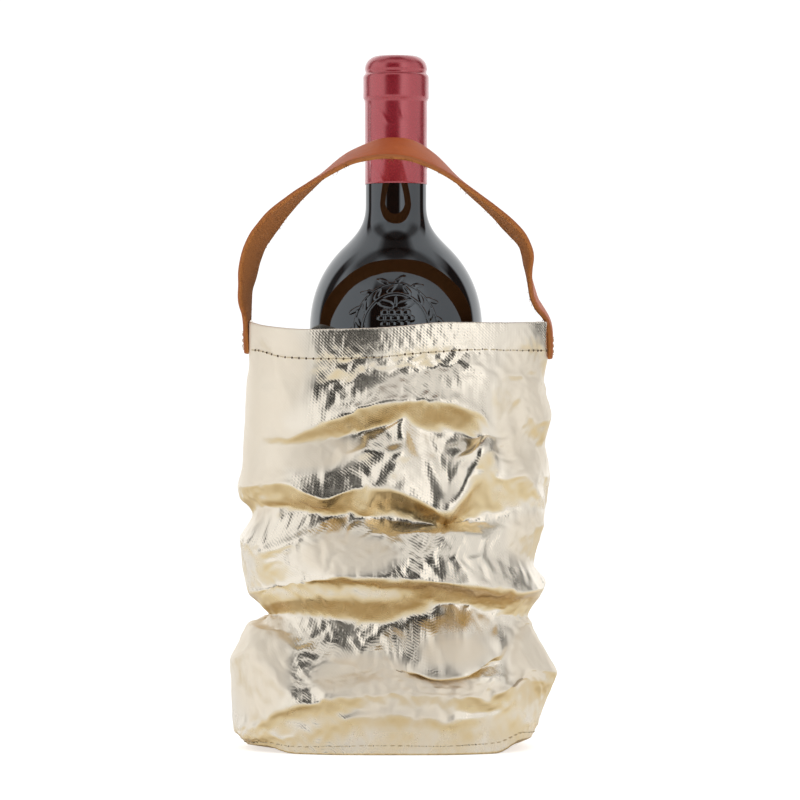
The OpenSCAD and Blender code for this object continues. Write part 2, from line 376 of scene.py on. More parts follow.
def build_world():
    """A photo studio: a large soft box at each side of the camera with a dark room between them, a
    softer light over them, and a white backdrop."""
    world = bpy.data.worlds.new("studio")
    bpy.context.scene.world = world
    world.use_nodes = True
    n = Nodes(world.node_tree, world.node_tree.nodes["Background"])
    x, y, z = n.split(n.node("ShaderNodeTexCoord").outputs["Generated"])
    # turn is 0.5 straight in front of the bag, falls to 0 leftwards and rises to 1 rightwards
    turn = n.scaled(n.math("ARCTAN2", x, n.scaled(y, -1.0)), 1 / (2 * math.pi), 0.5)
    # from the back round by the left: a bright back, a dark strip, the left box, the dark room, the
    # right box, another dark strip and the back again
    around = n.ramp(turn, [(0.0, 1.15), (0.144, 1.15), (0.160, 0.08), (0.192, 0.08), (0.208, 1.02),
                           (0.33, 1.0), (0.375, 1.0), (0.390, 0.95), (0.405, 0.02), (0.530, 0.02),
                           (0.552, 1.4), (0.59, 1.2), (0.64, 0.85), (0.70, 0.78), (0.780, 0.74),
                           (0.796, 0.04), (0.844, 0.04), (0.858, 1.15)])
    # above about 40 degrees the softer light hangs all round, dimmer straight to the left and to the
    # right, and the ceiling over the bag is dark
    overhead = n.ramp(z, [(0.0, 0.80), (0.935, 0.84), (0.975, 0.12), (1.0, 0.06)])
    height = n.ramp(z, [(0.0, 0.0), (0.60, 0.0), (0.78, 1.0), (1.0, 1.0)])
    beside = n.ramp(turn, [(0.0, 1.0), (0.20, 1.0), (0.24, 0.35), (0.29, 0.35), (0.36, 1.0),
                           (0.64, 1.0), (0.71, 0.35), (0.76, 0.35), (0.80, 1.0)])
    light = n.mix(height, around, n.math("MULTIPLY", overhead, beside))
    # seen straight on, the studio is only a white backdrop
    seen = n.node("ShaderNodeLightPath").outputs["Is Camera Ray"]
    n.to("Color", n.mix(seen, light, (1.1, 1.1, 1.1)))


FLOOR_RADIUS_MM = 2600
FLOOR_CORNERS = 96


def build_floor():
    """A white disc that glows a little more to the camera than to the object."""
    turn = np.linspace(0, 2 * math.pi, FLOOR_CORNERS, endpoint=False)
    ring = [(FLOOR_RADIUS_MM * math.cos(a), FLOOR_RADIUS_MM * math.sin(a), 0) for a in turn]
    mat, n = material("floor", Roughness=0.75, Specular_IOR_Level=0.1, Emission_Color=(1.0, 1.0, 1.0))
    seen = n.node("ShaderNodeLightPath").outputs["Is Camera Ray"]
    n.to("Emission Strength", n.scaled(seen, 0.42, 0.20))
    n.tone(n.noise(n.place(), 3.0, 2.0, 0.5), (0.955, 0.955, 0.95), (0.97, 0.97, 0.965))
    floor = new_object("floor", ring, [range(FLOOR_CORNERS)], [mat], smooth=False)


# ---------- the bag's sheet

# Fold lines across the front of the bag, from the rim down, in millimetres. Each has the place (x, z) of
# its ends on the left and right sides, then its points (x, z, out) across the front, where out is how far
# the line stands out of (or, below 0, in from) the plain front.
FOLDS_MM = [
    # rim
    ((-65.4, 192), (67.2, 191),
     [(-59, 189, -1), (-53, 188, 1), (-42, 187, 2.5), (-22, 187, 4.5), (-6, 187.6, 5), (6, 188.7, 3.6),
      (18, 190, 1.6), (49, 190, -2.5)]),
    # foot of the hem
    ((-65.8, 179), (67.4, 178),
     [(-59, 178, -2), (-52, 175, 2), (-38, 174, 3.5), (-23, 174, 5), (-6, 174.5, 5.5), (6, 176, 4.2),
      (18, 177, 2.4), (36, 178, 0), (54, 178, -2)]),
    # soft crease under the hem
    ((-67, 166), (66, 165),
     [(-59, 165, 0), (-47, 165, 2), (-31, 164, 3), (-19, 165, 5), (-5, 167, 5), (3, 169, 4), (15, 170, 2),
      (32, 171, 3), (50, 167, 2)]),
    # overhanging ledge
    ((-68, 151), (68, 156),
     [(-59, 140, 1), (-47, 139, 4), (-29, 147, 8), (-14, 152, 11), (2, 156, 12), (19, 155, 12), (35, 152, 8),
      (44, 145, 2), (55, 152, 0)]),
    # hollow under the ledge
    ((-68, 145), (69, 150),
     [(-59, 136, 1), (-47, 136, 2), (-29, 140, 1), (-14, 143, 0), (-4, 145, 0), (3, 147, 3), (11, 144, 0),
      (24, 143, -1), (37, 140, -1), (46, 138, 1), (56, 144, -1)]),
    # middle of the peaked facets
    ((-69, 129), (67, 137),
     [(-59, 126, 2), (-49, 126, 3), (-29, 131, 4), (-14, 134, 7), (-3, 133, 9), (3, 132, 10), (11, 131, 5),
      (24, 130, 3), (36, 133, 7), (42, 136, 8), (48, 129, 2), (58, 133, 1)]),
    # their lower ridge
    ((-71, 117), (69, 121),
     [(-61, 118, 3), (-49, 120, 7), (-31, 111, 9), (-22, 116, 9), (-12, 118, 10), (0, 116, 12),
      (11, 112, 10), (22, 105, 11), (32, 119, 9), (41, 122, 7), (48, 121, 5), (59, 124, 5)]),
    ((-69, 111), (68, 115),
     [(-59, 113, -2), (-49, 112, 0), (-31, 109, 3), (-20, 110, 2), (-11, 109, 1), (2, 108, 1), (15, 104, 1),
      (23, 102, 0), (32, 108, 1), (43, 112, 2), (52, 116, 3), (61, 118, 3)]),
    # first deep valley
    ((-63, 105), (68, 108),
     [(-53, 109, -4), (-42, 108, -5), (-29, 106, -3), (-14, 105, -2), (2, 103, -2), (17, 100, -2),
      (37, 103, -2), (52, 109, -1), (61, 112, 0)]),
    # ridge of the middle fold
    ((-71, 95), (67, 99),
     [(-62, 92, 0), (-55, 89, -1), (-42, 95, 0), (-22, 95, 4), (0, 98, 6), (19, 98, 7), (37, 97, 7),
      (52, 100, 4)]),
    ((-69, 84), (61, 82),
     [(-60, 80, 0), (-47, 86, 1), (-22, 87, 8), (0, 88, 12), (19, 86, 13), (37, 86, 13), (50, 88, 8)]),
    # its overhanging lip
    ((-66, 70), (68, 74),
     [(-58, 72, 2), (-42, 76, 6), (-25, 78, 11), (2, 77, 15), (15, 76, 16), (32, 74, 16), (46, 72, 13),
      (57, 71, 8)]),
    ((-63, 66), (65, 68),
     [(-49, 73, 4), (-33, 75, 5), (-16, 76, 5), (2, 75, 5), (19, 73, 3), (37, 70, 0), (52, 68, -1)]),
    ((-60, 63), (62, 65),
     [(-49, 67, 2), (-33, 69, 4), (-16, 69, 5), (-2, 68, 4), (11, 68, 0), (24, 67, -3), (37, 66, -4),
      (50, 65, -4)]),
    # waist
    ((-56, 59), (58, 59),
     [(-49, 62, -5), (-33, 61, -6), (-18, 60, -6), (-5, 59, -6), (11, 62, -5), (24, 66, -3), (37, 63, -4),
      (48, 61, -5)]),
    # hanging tongue of cloth, right of the middle
    ((-60, 58), (59, 56),
     [(-47, 52, -4), (-33, 48, -3), (-18, 46, -3), (-8, 46, -3), (-4, 43, 0), (3, 37, 2.5), (18, 32, 10),
      (32, 34, 14), (45, 43, 7), (51, 54, -3)]),
    ((-67, 55), (62, 52),
     [(-55, 54, -3), (-47, 46, 0), (-33, 41, 1.5), (-18, 39, 1.5), (-7, 38, 1.5), (3, 37, 1), (18, 36, 2),
      (32, 37, 2), (46, 43, -1), (53, 49, -3)]),
    # belly of the bottom fold
    ((-74, 39), (72, 33),
     [(-65, 46, 2), (-57, 40, 1), (-42, 32, 5), (-29, 33, 4.5), (-7, 34, 4), (15, 31, 6), (35, 31, 6),
      (44, 35, 5), (50, 33, 1), (59, 38, 2)]),
    # its lip
    ((-72, 7), (69, 20),
     [(-59, 15, 4), (-51, 19, 7), (-29, 25, 8.5), (2, 28, 8.5), (24, 26, 8.5), (40, 25, 8), (49, 28, 7),
      (59, 33, 6), (65, 27, 2)]),
    ((-71, 6), (67, 15),
     [(-59, 11, 1), (-49, 16, 3), (-29, 19, 5), (-7, 22, 7), (15, 21, 6), (37, 19, 4), (54, 24, 3),
      (62, 23, 1)]),
    ((-70, 4), (65, 10),
     [(-53, 8, 2), (-33, 12, 5), (-16, 17, 7.5), (2, 18, 8), (24, 15, 7), (41, 17, 4), (59, 18, 2)]),
    # seam at the foot
    ((-68, 3), (62, 7),
     [(-56, 5, 0), (-47, 3, 1), (-25, 3, 3), (2, 3, 3), (24, 3, 3), (46, 4, 1), (54, 8, 0)]),
    ((-67, 2), (61, 5),
     [(-56, 3, 0), (-47, 0, 1), (-25, 0, 3), (2, 0, 3), (24, 0, 3), (46, 0, 1), (54, 5, 0)]),
]
COLUMNS = 216             # cells round the bag
ROWS = 124                # cells from the rim to the foot
SQUARENESS = 3.0          # of the bag's rounded-rectangle outline
HALF_WIDTH_MM = 69        # of the outline that spaces the columns
HALF_DEPTH_MM = 47
FRONT_DEPTH_MM = 43.5
BACK_DEPTH_MM = 44.5
HEM_MM = 12.8
BACK_RIM_DROP_MM = 2.8     # the back of the rim is this much lower than the front
BACK_HEIGHT_SHARE = 0.8    # how far the back's folds rise, of the front's
BACK_OUT_SHARE = 0.75      # and stand out
BOTTLE_ROOM_MM = 40.3      # radius round the bottle that the wall keeps out of
STITCH_PITCH_MM = 3.5
STITCH_MM = 2.5            # length of a stitch
GIRTH_MM = 432             # nominal, for the lie of the crumples
HEM_INSIDE_MM = 1.25       # how far inside the wall's outer face the turned hem lies
LAP_LIFT_MM = 0.62         # how far the back lap stands out of the wall
SEAM_U_MM = 4.0            # where its stitches run, off the middle of the lap


def rounded_square(angles):
    """x and y, each from -1 to 1, of the bag's outline."""
    power = 2 / SQUARENESS
    return [np.sign(part) * np.abs(part) ** power for part in (np.cos(angles), np.sin(angles))]


def outline_angles():
    """Angles round the outline that space the columns evenly, from the back round by the left."""
    angles = np.linspace(math.pi / 2, 2.5 * math.pi, 4001)
    x, y = rounded_square(angles)
    along = lengths_along(np.stack([HALF_WIDTH_MM * x, HALF_DEPTH_MM * y], axis=1))
    even = np.linspace(0, along[-1], COLUMNS, endpoint=False)
    return np.interp(even, along, angles)


def fold_row(angles, left, right, points):
    """One fold line carried round the whole bag: x, y, z of each column. The back has the front's folds,
    mirrored and a little shallower."""
    cx, cy = rounded_square(angles)
    half = np.where(cx < 0, -left[0], right[0])
    # share of the way across, by angle, which spreads the corners out
    across = np.arccos(np.clip(cx, -1, 1))
    pts = np.array(points, float)
    norm_x = np.clip(pts[:, 0] / np.where(pts[:, 0] < 0, -left[0], right[0]), -0.98, 0.98)
    key_a = np.r_[math.pi, np.arccos(norm_x), 0][::-1]
    key_z = np.r_[left[1], pts[:, 1], right[1]][::-1]
    key_out = np.r_[0, pts[:, 2], 0][::-1]
    z_front = np.interp(across, key_a, key_z)
    out_front = np.interp(across, key_a, key_out)
    # on the back, the folds rise and fall from a straight line between the two side ends
    line = np.interp(across, [0, math.pi], [right[1], left[1]])
    mirrored = math.pi - across
    rise = np.interp(mirrored, key_a, key_z) - np.interp(mirrored, [0, math.pi], [right[1], left[1]])
    z_back = line + BACK_HEIGHT_SHARE * rise
    out_back = BACK_OUT_SHARE * np.interp(mirrored, key_a, key_out)
    z_back = z_back - BACK_RIM_DROP_MM * np.clip(cy, 0, 1) * np.clip((line - 150) / 40, 0, 1)
    front = cy < 0
    y = np.where(front, cy * (FRONT_DEPTH_MM + out_front), cy * (BACK_DEPTH_MM + out_back))
    z = np.where(front, z_front, z_back)
    return np.stack([cx * half, y, z], axis=1)


def bag_target():
    """The slumped shape to aim for, as points[row, column] in millimetres, and each row's place down the
    flat sheet."""
    angles = outline_angles()
    net = np.array([fold_row(angles, *fold) for fold in FOLDS_MM])
    for _ in range(6):
        net = 0.25 * np.roll(net, 1, 1) + 0.5 * net + 0.25 * np.roll(net, -1, 1)
    steps = np.linalg.norm(np.diff(net, axis=0), axis=2)
    drop = np.r_[0, np.cumsum(steps.mean(axis=1))]
    down = np.linspace(0, drop[-1], ROWS + 1)
    points = np.empty((ROWS + 1, COLUMNS, 3))
    for column, axis in np.ndindex(COLUMNS, 3):
        points[:, column, axis] = np.interp(down, drop, net[:, column, axis])
    return points, down


def relax(points, rounds, ridge, valley):
    """Rounds off the creases, each by its own share; the rim and foot rows stay."""
    for _ in range(rounds):
        beside = np.roll(points, 1, 1) + np.roll(points, -1, 1)
        move = 0.25 * (beside[1:-1] + points[:-2] + points[2:]) - points[1:-1]
        sunk = (move * grid_normals(points)[1:-1]).sum(axis=2, keepdims=True) > 0
        points[1:-1] += np.where(sunk, valley, ridge) * move
    return points


def grid_faces(rows, columns, closed=True):
    c = np.arange(columns if closed else columns - 1)
    r, c = np.meshgrid(np.arange(rows - 1), c, indexing="ij")
    a = r * columns + c
    b = r * columns + (c + 1) % columns
    return np.stack([a, a + columns, b + columns, b], axis=2).reshape(-1, 4)


def grid_normals(points):
    """Outward normals of a closed tube of points[row, column]."""
    round_it = np.roll(points, -1, 1) - np.roll(points, 1, 1)
    down = np.gradient(points, axis=0)
    return unit(np.cross(down, round_it))


def facets(u, v, cell, seed):
    """Random heights from -1 to 1 on a triangle lattice, flat between its corners, as in crumpled foil."""
    warp = cell * 0.45
    p = np.stack([u, v, np.zeros_like(u)], axis=1) / (cell * 1.7)
    u = u + warp * lattice_noise(p, seed + 1)
    v = v + warp * lattice_noise(p, seed + 2)
    skew = (u + v) * 0.366
    a, b = (u + skew) / cell, (v + skew) / cell
    i, j = np.floor(a).astype(int), np.floor(b).astype(int)
    fa, fb = a - i, b - j
    heights = np.random.default_rng(seed).uniform(-1, 1, 8192)

    def corner(di, dj):
        return heights[((i + di) * 157 + (j + dj) * 2203) % len(heights)]

    low = fa > fb
    return (corner(0, 0) * (1 - np.maximum(fa, fb)) + corner(1, 1) * np.minimum(fa, fb)
            + np.where(low, corner(1, 0), corner(0, 1)) * np.abs(fa - fb))


HOLD = 0.42               # how strongly the sheet is held to its folds while it settles
MOST_MOVE_MM = 6.0
CLOTH = {
    "quality": 5, "mass": 0.15, "air_damping": 3.0, "tension_stiffness": 40, "compression_stiffness": 40,
    "shear_stiffness": 25, "bending_stiffness": 0.05, "tension_damping": 15, "compression_damping": 15,
    "shear_damping": 10, "vertex_group_mass": "held", "pin_stiffness": 1.0,
}


def settle(points, spread, frames):
    """Lets the sheet buckle as cloth: it is too long for its folds by the share spread, and is held to
    them only loosely, apart from the rim and the foot."""
    rows = points.shape[0]
    sheet = new_object("settling", points, grid_faces(rows, COLUMNS), [])
    held = sheet.vertex_groups.new(name="held")
    row = np.arange(rows)
    edge = np.minimum(row / (0.075 * rows), (rows - 1 - row) / (0.03 * rows))
    for r in range(rows):
        weight = float(np.clip(1.0 - edge[r], 0, 1) * 0.55 + HOLD)
        held.add(list(range(r * COLUMNS, (r + 1) * COLUMNS)), weight, "REPLACE")
    cloth = sheet.modifiers.new("cloth", "CLOTH")
    for key, value in CLOTH.items():
        setattr(cloth.settings, key, value)
    cloth.settings.shrink_min = -spread
    cloth.settings.effector_weights.gravity = 0
    cloth.collision_settings.use_collision = False
    cloth.collision_settings.use_self_collision = False
    cloth.point_cache.frame_start = 1
    cloth.point_cache.frame_end = frames
    scene = bpy.context.scene
    for frame_number in range(1, frames + 1):
        scene.frame_set(frame_number)
    evaluated = sheet.evaluated_get(bpy.context.evaluated_depsgraph_get())
    settled = np.empty(points.size, np.float32)
    evaluated.data.vertices.foreach_get("co", settled)
    settled = settled.astype(float).reshape(points.shape) / MM
    mesh = sheet.data
    bpy.data.objects.remove(sheet)
    bpy.data.meshes.remove(mesh)
    scene.frame_set(1)
    move = settled - points
    far = np.linalg.norm(move, axis=2, keepdims=True)
    print("cloth moved: mean %.2f max %.2f mm" % (far.mean(), far.max()))
    move *= (1 - 0.8 * smooth_part(points))[:, :, None]
    return points + move * np.minimum(1, MOST_MOVE_MM / np.maximum(far, 1e-6))


def smooth_part(points):
    """1 on the upper left of the bag, which is nearly free of creases, and 0 elsewhere."""
    x, y, z = (points[:, :, k] for k in range(3))
    return np.clip((-x - 26) / 12, 0, 1) * np.clip((z - 112) / 12, 0, 1) * (y < 20)


class Sheet:
    """The bag's outer surface as a grid, which other pieces are laid on."""

    def __init__(self, points, down):
        self.points, self.down = points, down
        self.normals = grid_normals(points)
        below_rim = points[4]
        self.around = np.linalg.norm(np.roll(below_rim, -1, 0) - below_rim, axis=1).sum()

    def at(self, u, d, out=0.0):
        """The place and normal at u round the bag and d down it, in millimetres, out above the surface.
        Each of the three is a number or an array."""
        c = np.asarray(u, float) / self.around * COLUMNS
        r = np.interp(d, self.down, np.arange(len(self.down)))
        c0, r0 = np.floor(c).astype(int), np.clip(np.floor(r).astype(int), 0, len(self.down) - 2)
        fc, fr = (c - c0)[..., None], (r - r0)[..., None]

        def sample(grid):
            top = grid[r0, c0 % COLUMNS] * (1 - fc) + grid[r0, (c0 + 1) % COLUMNS] * fc
            low = grid[r0 + 1, c0 % COLUMNS] * (1 - fc) + grid[r0 + 1, (c0 + 1) % COLUMNS] * fc
            return top * (1 - fr) + low * fr

        normal = unit(sample(self.normals))
        return sample(self.points) + normal * np.asarray(out)[..., None], normal


# Creases that run across the folds on the front: height, half width, then the points (x, z) of each.
CREASES_MM = [
    (0.7, 3.5, [(-62, 190), (-54, 178), (-52, 167), (-47, 156)]),       # pressed line under the left strap
    (1.8, 5.5, [(41, 138), (31, 121), (21.5, 104)]),                    # sharp ridge right of the peak
    (1.6, 5, [(26, 156), (36, 147), (38, 138), (36, 122)]),             # arc round the ledge's right end
    (1.3, 5, [(50, 135), (63, 113)]), (1.0, 4, [(51, 134), (44, 110)]),   # facet at the right edge
    (1.8, 5.5, [(2.5, 146), (3.5, 135), (-6.5, 121), (-15, 108)]),      # peak of the central facets
    (1.2, 5, [(2.5, 146), (-9, 138), (-21, 129), (-31, 124)]),
    (1.4, 4, [(15.5, 129), (23, 107)]),
    (1.3, 2.4, [(-59, 111), (-52, 112.5), (-51, 106), (-57, 105.5)]),   # knot in the left cavity
    (0.9, 4.5, [(21.5, 97), (10, 81)]), (1.1, 3.5, [(-57, 89), (-39, 96)]),
    (-1.1, 4.5, [(53, 152), (55, 143), (64, 135)]),
    (1.1, 4, [(35, 70), (30, 52)]), (1.0, 3.5, [(17.5, 52), (22, 41)]),
    (1.4, 4, [(45, 51), (46, 29)]), (1.2, 4.5, [(60, 56), (54, 44), (66, 30)]),
    (1.3, 4.5, [(-65, 57), (-60, 40), (-42, 24)]), (0.9, 4, [(-60, 40), (-46, 42), (-30, 27)]),
    (-0.9, 7, [(-30, 10), (-8, 13), (20, 12)]),
]


def away_from_line(x, z, x0, z0, x1, z1):
    """Distance of each (x, z) from the straight line between two points."""
    dx, dz = x1 - x0, z1 - z0
    t = np.clip(((x - x0) * dx + (z - z0) * dz) / (dx**2 + dz**2), 0, 1)
    return np.hypot(x - x0 - t * dx, z - z0 - t * dz)


def lie_under_strap(points):
    """Flattens the wall where the ends of the strap are sewn to it."""
    x, y, z = (points[:, :, k] for k in range(3))
    beside = np.clip(1 - (np.abs(y - STRAP_MM[0][1]) - STRAP_WIDE_MM / 2) / 5, 0, 1)
    below = np.clip(1 - (STRAP_MM[-1][2] - z) / 8, 0, 1)
    for end, side in ((STRAP_MM[1], -1), (STRAP_MM[-2], 1)):
        inner_face = end[0] - side * (STRAP_THICK_MM / 2 + 0.1)
        share = beside * below * (x * side > 50)
        points[:, :, 0] += share * (inner_face - x)
    return points


def creases(points):
    """Height of the creases over the grid; the back has them too, the other way round and lower."""
    back = points[:, :, 1] > 0
    x = np.where(back, -points[:, :, 0], points[:, :, 0])
    z = points[:, :, 2]
    total = np.zeros(x.shape)
    for high, half, line in CREASES_MM:
        away = np.min([away_from_line(x, z, *a, *b) for a, b in zip(line[:-1], line[1:])], axis=0)
        total += high * np.clip(1 - away / half, 0, 1)
    return total * np.where(back, 0.7, 1)


# The two sizes of crumple: height, how much closer down the bag than across it, width, and a seed
FACETS_MM = [(1.5, 1.25, 26, 3), (0.4, 1.2, 10, 7)]


def crumple(points, down):
    """Adds the small flat facets and sharp creases of crumpled foil."""
    rows = points.shape[0]
    u = np.tile(np.linspace(0, GIRTH_MM, COLUMNS, endpoint=False), (rows, 1))
    v = np.tile(down[:, None], (1, COLUMNS))
    layers = [high * facets(u.ravel(), v.ravel() * closer, cell, seed)
              for high, closer, cell, seed in FACETS_MM]
    height = sum(layers).reshape(rows, COLUMNS)
    # it fades out towards the rim, the foot, the upper left and the seam down the back
    off_seam = np.clip((np.minimum(u, GIRTH_MM - u) - 7) / 10, 0, 1)
    near_rim = np.clip((down - 4) / 26, 0.18, 1)[:, None]
    near_foot = np.clip((down[-1] - down) / 14, 0.1, 1)[:, None]
    height = height * (near_rim * (1 - 0.75 * smooth_part(points)) * near_foot * off_seam)
    # the turned hem is plump, with a groove and puckers where it is stitched
    from_stitches = np.abs(down - HEM_MM)
    plump = 0.4 * np.sin(np.pi * np.clip(down / HEM_MM, 0, 1))
    groove = -0.16 * np.clip(1 - from_stitches / 2.4, 0, 1)
    near_stitches = np.clip(1 - from_stitches / 6, 0, 1)[:, None]
    puckers = 0.12 * np.cos(2 * np.pi * u / STITCH_PITCH_MM / 2) * near_stitches
    height = height + (plump + groove)[:, None] + puckers + creases(points) * off_seam
    points = points + grid_normals(points) * height[:, :, None]
    # the wall lies on the bottle where a fold would reach into it
    away = points[:, :, :2] - np.array([0, BOTTLE_Y_MM])
    far = np.linalg.norm(away, axis=2, keepdims=True)
    points[:, :, :2] += away / far * np.maximum(0, BOTTLE_ROOM_MM - far)
    return points


# Places where handling has rubbed the foil smooth and dull, and painted with a paler sheen where it
# faces up: x, z, and half the width and height of each
RUBBED_MM = [
    (-57, 170, 19, 26), (-61, 135, 14, 34), (-42, 134, 24, 9), (-22, 88, 22, 9), (-14, 34, 24, 10),
    (22, 28, 30, 6), (-60, 40, 14, 26), (62, 42, 13, 22), (57, 150, 14, 34), (4, 19, 24, 7),
    (26, 45, 15, 7), (60, 95, 12, 12),
]


def rubbed(points):
    """1 where the foil is rubbed dull and 0 where it shines, and painted with a paler sheen where it faces
    up; the back is rubbed the other way round.
    """
    x = np.where(points[:, :, 1] > 0, -points[:, :, 0], points[:, :, 0])
    z = points[:, :, 2]
    share = np.zeros(x.shape)
    for cx, cz, half_x, half_z in RUBBED_MM:
        away = np.hypot((x - cx) / half_x, (z - cz) / half_z)
        share = np.maximum(share, np.clip((1.25 - away) / 0.5, 0, 1))
    return share * share * (3 - 2 * share)


def build_bag(foil, lining):
    """The wall with its turned hem, and the Sheet that the other pieces are laid on."""
    points, down = bag_target()
    points = relax(points, rounds=5, ridge=0.12, valley=0.6)
    points = settle(points, spread=0.035, frames=14)
    points = lie_under_strap(crumple(points, down))
    points[:, :, 2] = np.maximum(points[:, :, 2], 0.1)
    sheet = Sheet(points, down)
    # the hem turns over the rim and runs down inside the wall
    hem_rows = 8
    inside_down = np.linspace(HEM_MM, 0.6, hem_rows)
    u = np.linspace(0, sheet.around, COLUMNS, endpoint=False)
    inner = [sheet.at(u, d, -HEM_INSIDE_MM)[0] for d in inside_down]
    rim = points[0]
    inner.append(0.5 * (inner[-1] + rim) + np.array([0, 0, 0.75]))
    outer_rim = rim + 0.1 * sheet.normals[0] + np.array([0, 0, 0.2])
    grid = np.concatenate([np.array(inner), outer_rim[None], points[1:]])
    place = np.zeros(grid.shape)
    place[:, :, 0] = u[None, :]
    place[:hem_rows + 1, :, 1] = np.r_[inside_down, 0.4][:, None]
    run = np.linalg.norm(np.diff(points, axis=0), axis=2)
    place[hem_rows + 2:, :, 1] = -np.cumsum(run, axis=0)
    bag = new_object("bag_sheet", grid, grid_faces(len(grid), COLUMNS), [foil, lining])
    set_vector(bag, "sheet_mm", place)
    set_vector(bag, "matte_and_sheen", np.repeat(rubbed(grid), 3))
    subdivide(bag)
    thicken(bag, 0.5, inside=1)
    return bag, sheet


def build_base(sheet, foil, lining):
    """The stiff panel sewn into the foot of the wall."""
    foot = sheet.points[-1] - sheet.normals[-1] * 0.2
    centre = np.array([0, 0, 0.35])
    rings = []
    for share in (1.0, 0.985, 0.95, 0.88, 0.75, 0.6, 0.42, 0.22, 0.08):
        ring = centre + (foot - centre) * share
        ring[:, 2] = 0.25 + (foot[:, 2] - 0.25) * max(0, (share - 0.75) / 0.25) ** 1.5
        rings.append(ring)
    points = np.vstack(rings + [centre])
    faces = list(grid_faces(len(rings), COLUMNS))
    last = (len(rings) - 1) * COLUMNS
    faces += [(last + c, len(points) - 1, last + (c + 1) % COLUMNS) for c in range(COLUMNS)]
    base = new_object("bag_base_panel", points, faces, [foil, lining])
    set_vector(base, "sheet_mm", points * (1, 1, 0))
    thicken(base, 0.9, inside=1)
    return base


def build_lap(sheet, foil):
    """The overlap of the sheet's two edges, down the middle of the back."""
    down = np.r_[0.6, 1.2, np.arange(3.0, sheet.down[-1] - 2.5, 1.8)]
    across = np.array([-6, -5.6, -4, -2, 0, 2, 4, 5.6, 6])
    lift = np.array([0.02, 0.5] + [LAP_LIFT_MM] * 5 + [0.5, 0.02])
    d, u = np.meshgrid(down, across, indexing="ij")
    faces = grid_faces(len(down), len(across), False)[:, ::-1]
    lap = new_object("back_lap", sheet.at(u, d, lift)[0], faces, [foil])
    set_vector(lap, "sheet_mm", np.stack([u, -d, 0 * u], axis=2))
    subdivide(lap)
    thicken(lap, 0.45)
    return lap


# ---------- stitches

def stitch_row(name, middles, normals, along, length, thread_mm, hole_mm, materials):
    """Stitches at the middles, each a bent bar of thread, with a needle hole after it if hole_mm is
    not 0. The ends of the bar dive into the sheet."""
    sides = 6
    stations = np.linspace(-1, 1, 7)
    thick = np.sqrt(np.clip(1 - stations**4, 0.02, 1))
    points, faces, which = [], [], []
    turn = np.linspace(0, 2 * np.pi, sides, endpoint=False)
    bar_faces = np.roll(grid_faces(len(stations), sides)[:, ::-1], 1, axis=1)
    for middle, normal, way in zip(middles, normals, along):
        side = np.cross(normal, way)
        first = len(points)
        for s, t in zip(stations, thick):
            centre = middle + way * (s * length / 2) + normal * thread_mm * (0.42 - 0.75 * s * s)
            for a in turn:
                points.append(centre + (side * np.cos(a) + normal * np.sin(a)) * t * thread_mm / 2)
        end = first + len(bar_faces)
        faces += list(bar_faces + first)
        faces += [range(first, first + sides)[::-1], range(end, end + sides)]
        which += [0] * (len(bar_faces) + 2)
        if hole_mm:
            hole = middle + way * (length / 2 + (STITCH_PITCH_MM - length) / 2)
            start = len(points)
            points.append(hole + normal * 0.13)
            for r, h in ((0.6, 0.10), (1.0, -0.25)):
                for a in turn:
                    spoke = way * np.cos(a) * 0.9 + side * np.sin(a)
                    points.append(hole + spoke * hole_mm * r / 2 + normal * h)
            low = start + 1 + sides
            for j in range(sides):
                k = (j + 1) % sides
                faces.append((start, start + 1 + j, start + 1 + k))
                faces.append((start + 1 + j, low + j, low + k, start + 1 + k))
            faces.append(range(low, low + sides)[::-1])
            which += [1] * (2 * sides + 1)
    return new_object(name, points, faces, materials, which)


ROUND_THE_BAG = (0.8, 0)       # the two ways that a row of stitches runs: u and d of a short step
DOWN_THE_BAG = (0, 0.8)


def stitches_on(sheet, name, u, d, out, step, thread_mm, hole_mm, materials):
    """A row of stitches at u round the bag and d down it, out above its grid, that runs the way of
    step."""
    places, normals = sheet.at(u, d, out)
    ahead = sheet.at(u + step[0], d + step[1], out)[0]
    return stitch_row(name, places, normals, unit(ahead - places), STITCH_MM, thread_mm, hole_mm, materials)


# ---------- the strap

